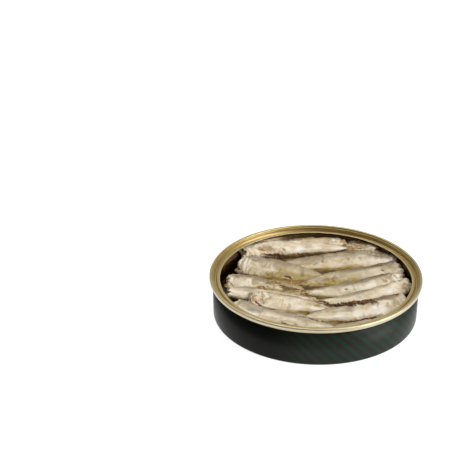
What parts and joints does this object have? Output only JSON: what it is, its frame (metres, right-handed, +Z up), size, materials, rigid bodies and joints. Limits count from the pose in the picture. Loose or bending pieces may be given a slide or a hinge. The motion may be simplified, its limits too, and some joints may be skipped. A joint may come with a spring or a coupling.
{
  "type": "sardine tin",
  "caption": "Open round food tin with a folded rim, filled with small headless fish that lie side by side in oil.",
  "frame": {"origin": "centre of the base, on the surface the tin stands on", "axes": "+Z up along the tin's axis; -Y towards the viewer; the fish lie roughly along X"},
  "size_m": [0.13, 0.13, 0.0267],
  "materials": {
    "green_lacquer": "dark green lacquer, satin",
    "gold_lacquer": "gold lacquered steel, satin",
    "oil_gold": "clear yellow oil, glossy",
    "fish_skin": "cooked fish skin, moist"
  },
  "bodies": {
    "root": {"can_body": "green_lacquer", "seam_ring": "gold_lacquer", "oil": "oil_gold", "fish_01": "fish_skin", "fish_02": "fish_skin", "fish_03": "fish_skin", "fish_04": "fish_skin", "fish_05": "fish_skin", "fish_06": "fish_skin", "fish_07": "fish_skin", "fish_08": "fish_skin", "fish_09": "fish_skin", "fish_10": "fish_skin", "fish_11": "fish_skin", "fish_12": "fish_skin", "fish_13": "fish_skin", "fish_14": "fish_skin"}
  },
  "joints": []
}
